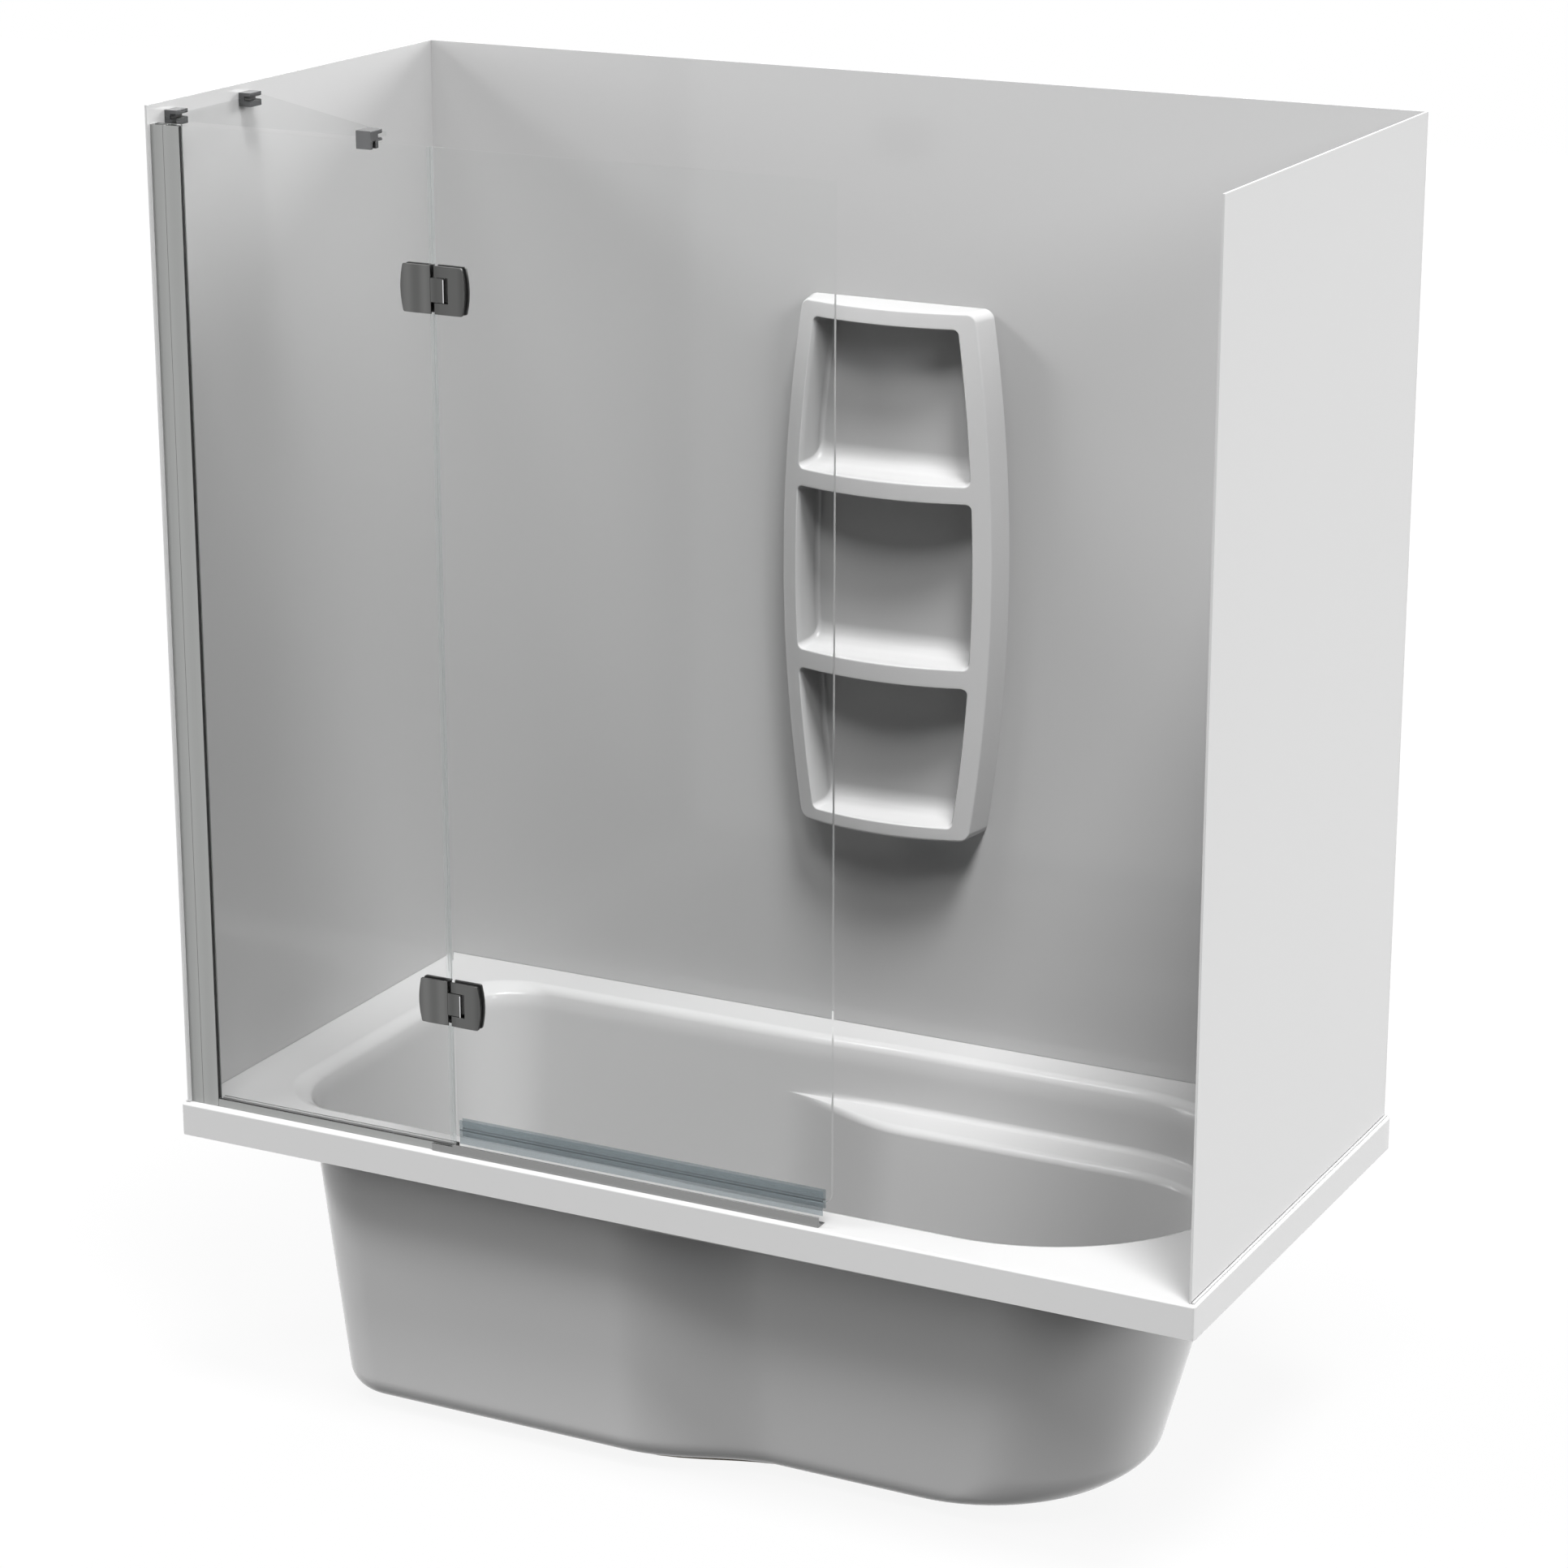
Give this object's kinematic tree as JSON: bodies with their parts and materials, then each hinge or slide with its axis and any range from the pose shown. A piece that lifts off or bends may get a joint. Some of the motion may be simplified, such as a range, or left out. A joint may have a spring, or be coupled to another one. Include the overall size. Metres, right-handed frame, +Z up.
{
  "type": "shower bath",
  "caption": "White acrylic bath with a waisted bowl and inner ledge, lining panels, moulded wall shelf and a braced glass screen with a hinged door",
  "frame": {"origin": "middle of the underside of the board under the bowl, on the floor", "axes": "+Z up, +X along the bath from the waste and fixed glass at the left to the plain right end, -Y the open front with the glass screen"},
  "size_m": [1.6, 0.76, 1.9703],
  "materials": {
    "tub_acrylic": "white gloss sanitary acrylic",
    "board_wood": "raw board",
    "waste_chrome": "polished",
    "gasket_rubber": "matt black",
    "nut_plastic": "moulded grey",
    "panel_acrylic": "white gloss sheet",
    "shelf_acrylic": "white gloss moulding",
    "channel_aluminium": "satin silver",
    "screen_glass": "clear polished",
    "smoke_vinyl": "translucent blue-grey",
    "clear_vinyl": "clear",
    "fixing_steel": "bright",
    "hinge_metal": "satin grey"
  },
  "bodies": {
    "bath": {"back_wall_panel": "panel_acrylic", "base_board": "board_wood", "bottom_rail": "channel_aluminium", "brace_glass": "screen_glass", "brace_liner_front": "gasket_rubber", "brace_liner_glass": "gasket_rubber", "brace_liner_rear": "gasket_rubber", "fixed_glass": "screen_glass", "glass_bracket": "hinge_metal", "glazing_channel": "channel_aluminium", "jamb_gasket_back": "gasket_rubber", "jamb_gasket_front": "gasket_rubber", "left_wall_panel": "panel_acrylic", "lower_hinge_fixed_back": "hinge_metal", "lower_hinge_fixed_front": "hinge_metal", "lower_hinge_fixed_pad_back": "gasket_rubber", "lower_hinge_fixed_pad_front": "gasket_rubber", "lower_hinge_fixed_screw_low": "fixing_steel", "lower_hinge_fixed_screw_top": "fixing_steel", "lower_hinge_pin": "fixing_steel", "panel_base_bead": "panel_acrylic", "rail_gasket_back": "gasket_rubber", "rail_gasket_front": "gasket_rubber", "right_wall_panel": "panel_acrylic", "saddle_liner": "gasket_rubber", "shelf_unit": "shelf_acrylic", "side_seal_lower": "clear_vinyl", "side_seal_middle": "clear_vinyl", "side_seal_upper": "clear_vinyl", "sill_strip": "channel_aluminium", "tub_shell": "tub_acrylic", "upper_hinge_fixed_back": "hinge_metal", "upper_hinge_fixed_front": "hinge_metal", "upper_hinge_fixed_pad_back": "gasket_rubber", "upper_hinge_fixed_pad_front": "gasket_rubber", "upper_hinge_fixed_screw_low": "fixing_steel", "upper_hinge_fixed_screw_top": "fixing_steel", "upper_hinge_pin": "fixing_steel", "wall_bracket_front": "hinge_metal", "wall_bracket_rear": "hinge_metal", "wall_channel": "channel_aluminium", "waste_body": "waste_chrome", "waste_gasket": "gasket_rubber", "waste_nut": "nut_plastic"},
    "door": {"door_bottom_seal": "smoke_vinyl", "door_glass": "screen_glass", "lower_hinge_door_back": "hinge_metal", "lower_hinge_door_front": "hinge_metal", "lower_hinge_door_pad_back": "gasket_rubber", "lower_hinge_door_pad_front": "gasket_rubber", "lower_hinge_door_screw_low": "fixing_steel", "lower_hinge_door_screw_top": "fixing_steel", "upper_hinge_door_back": "hinge_metal", "upper_hinge_door_front": "hinge_metal", "upper_hinge_door_pad_back": "gasket_rubber", "upper_hinge_door_pad_front": "gasket_rubber", "upper_hinge_door_screw_low": "fixing_steel", "upper_hinge_door_screw_top": "fixing_steel"},
    "plug": {"waste_plug": "waste_chrome"}
  },
  "joints": [
    {"name": "door_swing", "type": "hinge", "parent": "bath", "child": "door", "pos_m": [-0.335, -0.359, 0.5053], "axis": [0, 0, 1], "range_deg": [-90, 90]},
    {"name": "plug_lift", "type": "slide", "parent": "bath", "child": "plug", "axis": [0, 0, 1], "range_m": [0, 0.06]}
  ]
}
